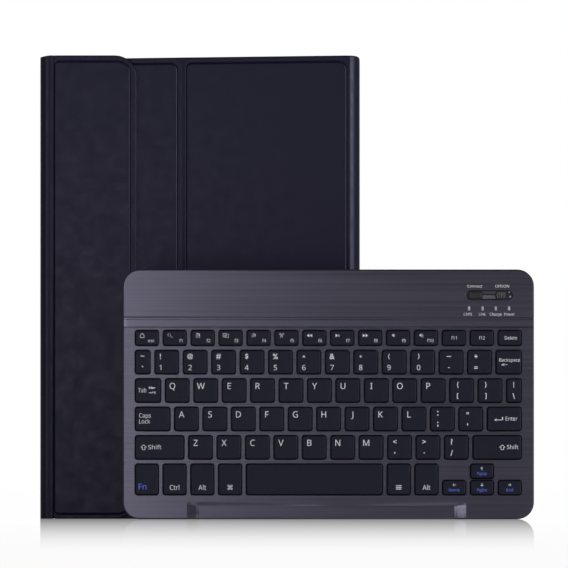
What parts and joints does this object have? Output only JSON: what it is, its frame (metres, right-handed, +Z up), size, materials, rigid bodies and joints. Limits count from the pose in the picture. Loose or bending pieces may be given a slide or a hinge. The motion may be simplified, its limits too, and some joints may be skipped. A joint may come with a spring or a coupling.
{
  "type": "tablet keyboard case",
  "caption": "Leather-covered folio case for a tablet, standing closed, with its detachable wireless keyboard standing in front of it.",
  "frame": {"origin": "middle of the whole object's footprint, on the surface that it stands on", "axes": "+X to the right along the keyboard's long side, +Y away from the viewer through the closed case's thickness, +Z up"},
  "size_m": [0.297, 0.1414, 0.2804],
  "materials": {
    "leather": "smooth, fine-grained near-black leatherette with a faint violet cast",
    "fibreboard": "pressed fibreboard",
    "suede_lining": "short-napped microfibre",
    "tray_plastic": "satin soft plastic",
    "magnet": "nickel-plated",
    "steel": "bright tinned steel",
    "brushed_frame": "dark gunmetal, brushed along its length",
    "keyboard_shell": "fine-textured",
    "keycap": null,
    "rubber": "matte",
    "membrane": "translucent film",
    "circuit_board": "solder mask",
    "battery_foil": "laminated foil",
    "wire_jacket": "matte",
    "switch_plastic": "satin",
    "light_guide": "clear, frosted at its tips"
  },
  "bodies": {
    "base_panel": {"base_panel_leather": "leather", "base_panel_board": "fibreboard", "base_panel_lining": "suede_lining", "flap_keeper_plate": "steel"},
    "flap": {"flap_leather": "leather", "flap_board": "fibreboard", "flap_lining": "suede_lining", "flap_magnet_bar": "magnet"},
    "front_panel": {"front_panel_leather": "leather", "front_panel_board": "fibreboard", "front_panel_lining": "suede_lining", "keyboard_magnet_bar": "magnet", "closure_magnet": "magnet"},
    "spine": {"spine_leather": "leather", "spine_core": "fibreboard", "spine_lining": "suede_lining"},
    "rear_cover": {"rear_cover_leather": "leather", "rear_cover_board": "fibreboard", "rear_cover_lining": "suede_lining", "tablet_tray": "tray_plastic"},
    "keyboard": {"keyboard_top_frame": "brushed_frame", "keyboard_bottom_cover": "keyboard_shell", "foot_lower_left": "rubber", "foot_lower_right": "rubber", "foot_upper_left": "rubber", "foot_upper_right": "rubber", "dome_sheet": "rubber", "membrane_sheet": "membrane", "key_support_plate": "steel", "controller_board": "circuit_board", "charging_port": "steel", "battery_cell": "battery_foil", "battery_lead": "wire_jacket", "keyboard_steel_strip": "steel", "switch_well": "switch_plastic", "lamp_light_guide": "light_guide"},
    "connect_button": {"connect_button": "switch_plastic"},
    "power_switch_knob": {"power_switch_knob": "switch_plastic"},
    "keys_function_row": {"keys_function_row": "keycap"},
    "keys_number_row": {"keys_number_row": "keycap"},
    "key_backspace": {"key_backspace": "keycap"},
    "key_tab": {"key_tab": "keycap"},
    "keys_upper_row": {"keys_upper_row": "keycap"},
    "key_caps_lock": {"key_caps_lock": "keycap"},
    "keys_home_row": {"keys_home_row": "keycap"},
    "key_enter": {"key_enter": "keycap"},
    "key_shift_left": {"key_shift_left": "keycap"},
    "keys_lower_row": {"keys_lower_row": "keycap"},
    "key_shift_right": {"key_shift_right": "keycap"},
    "key_fn": {"key_fn": "keycap"},
    "key_ctrl": {"key_ctrl": "keycap"},
    "key_alt_left": {"key_alt_left": "keycap"},
    "key_system": {"key_system": "keycap"},
    "key_space": {"key_space": "keycap"},
    "key_menu": {"key_menu": "keycap"},
    "key_alt_right": {"key_alt_right": "keycap"},
    "key_arrow_left": {"key_arrow_left": "keycap"},
    "key_arrow_down": {"key_arrow_down": "keycap"},
    "key_arrow_up": {"key_arrow_up": "keycap"},
    "key_arrow_right": {"key_arrow_right": "keycap"}
  },
  "joints": [
    {"name": "cover_fold", "type": "hinge", "parent": "base_panel", "child": "front_panel", "pos_m": [-0.0627, 0.04942, 0.1402], "axis": [0, 0, -1], "range_deg": [0, 125]},
    {"name": "cover_rear_hinge", "type": "hinge", "parent": "spine", "child": "rear_cover", "pos_m": [-0.1405, 0.07087, 0.1402], "axis": [0, 0, 1], "range_deg": [0, 145]},
    {"name": "cover_spine_hinge", "type": "hinge", "parent": "base_panel", "child": "spine", "pos_m": [-0.1405, 0.04657, 0.1402], "axis": [0, 0, 1], "range_deg": [0, 145]},
    {"name": "flap_hinge", "type": "hinge", "parent": "base_panel", "child": "flap", "pos_m": [-0.1405, 0.04657, 0.1402], "axis": [0, 0, 1], "range_deg": [-180, 0]},
    {"name": "keyboard_lift_off", "type": "slide", "parent": "base_panel", "child": "keyboard", "axis": [0, -1, 0], "range_m": [0, 0.04]},
    {"name": "connect_button_press", "type": "slide", "parent": "keyboard", "child": "connect_button", "axis": [0, 1, 0], "range_m": [0, 0.0006], "stiffness_N_per_m": 2500},
    {"name": "power_switch_slide", "type": "slide", "parent": "keyboard", "child": "power_switch_knob", "axis": [1, 0, 0], "range_m": [0, 0.0034]},
    {"name": "press_function_row", "type": "slide", "parent": "keyboard", "child": "keys_function_row", "axis": [0, 1, 0], "range_m": [0, 0.0012], "stiffness_N_per_m": 450},
    {"name": "press_number_row", "type": "slide", "parent": "keyboard", "child": "keys_number_row", "axis": [0, 1, 0], "range_m": [0, 0.0012], "stiffness_N_per_m": 450},
    {"name": "press_backspace", "type": "slide", "parent": "keyboard", "child": "key_backspace", "axis": [0, 1, 0], "range_m": [0, 0.0012], "stiffness_N_per_m": 450},
    {"name": "press_tab", "type": "slide", "parent": "keyboard", "child": "key_tab", "axis": [0, 1, 0], "range_m": [0, 0.0012], "stiffness_N_per_m": 450},
    {"name": "press_upper_row", "type": "slide", "parent": "keyboard", "child": "keys_upper_row", "axis": [0, 1, 0], "range_m": [0, 0.0012], "stiffness_N_per_m": 450},
    {"name": "press_caps_lock", "type": "slide", "parent": "keyboard", "child": "key_caps_lock", "axis": [0, 1, 0], "range_m": [0, 0.0012], "stiffness_N_per_m": 450},
    {"name": "press_home_row", "type": "slide", "parent": "keyboard", "child": "keys_home_row", "axis": [0, 1, 0], "range_m": [0, 0.0012], "stiffness_N_per_m": 450},
    {"name": "press_enter", "type": "slide", "parent": "keyboard", "child": "key_enter", "axis": [0, 1, 0], "range_m": [0, 0.0012], "stiffness_N_per_m": 450},
    {"name": "press_shift_left", "type": "slide", "parent": "keyboard", "child": "key_shift_left", "axis": [0, 1, 0], "range_m": [0, 0.0012], "stiffness_N_per_m": 450},
    {"name": "press_lower_row", "type": "slide", "parent": "keyboard", "child": "keys_lower_row", "axis": [0, 1, 0], "range_m": [0, 0.0012], "stiffness_N_per_m": 450},
    {"name": "press_shift_right", "type": "slide", "parent": "keyboard", "child": "key_shift_right", "axis": [0, 1, 0], "range_m": [0, 0.0012], "stiffness_N_per_m": 450},
    {"name": "press_fn", "type": "slide", "parent": "keyboard", "child": "key_fn", "axis": [0, 1, 0], "range_m": [0, 0.0012], "stiffness_N_per_m": 450},
    {"name": "press_ctrl", "type": "slide", "parent": "keyboard", "child": "key_ctrl", "axis": [0, 1, 0], "range_m": [0, 0.0012], "stiffness_N_per_m": 450},
    {"name": "press_alt_left", "type": "slide", "parent": "keyboard", "child": "key_alt_left", "axis": [0, 1, 0], "range_m": [0, 0.0012], "stiffness_N_per_m": 450},
    {"name": "press_system", "type": "slide", "parent": "keyboard", "child": "key_system", "axis": [0, 1, 0], "range_m": [0, 0.0012], "stiffness_N_per_m": 450},
    {"name": "press_space", "type": "slide", "parent": "keyboard", "child": "key_space", "axis": [0, 1, 0], "range_m": [0, 0.0012], "stiffness_N_per_m": 450},
    {"name": "press_menu", "type": "slide", "parent": "keyboard", "child": "key_menu", "axis": [0, 1, 0], "range_m": [0, 0.0012], "stiffness_N_per_m": 450},
    {"name": "press_alt_right", "type": "slide", "parent": "keyboard", "child": "key_alt_right", "axis": [0, 1, 0], "range_m": [0, 0.0012], "stiffness_N_per_m": 450},
    {"name": "press_arrow_left", "type": "slide", "parent": "keyboard", "child": "key_arrow_left", "axis": [0, 1, 0], "range_m": [0, 0.0012], "stiffness_N_per_m": 450},
    {"name": "press_arrow_down", "type": "slide", "parent": "keyboard", "child": "key_arrow_down", "axis": [0, 1, 0], "range_m": [0, 0.0012], "stiffness_N_per_m": 450},
    {"name": "press_arrow_up", "type": "slide", "parent": "keyboard", "child": "key_arrow_up", "axis": [0, 1, 0], "range_m": [0, 0.0012], "stiffness_N_per_m": 450},
    {"name": "press_arrow_right", "type": "slide", "parent": "keyboard", "child": "key_arrow_right", "axis": [0, 1, 0], "range_m": [0, 0.0012], "stiffness_N_per_m": 450}
  ]
}
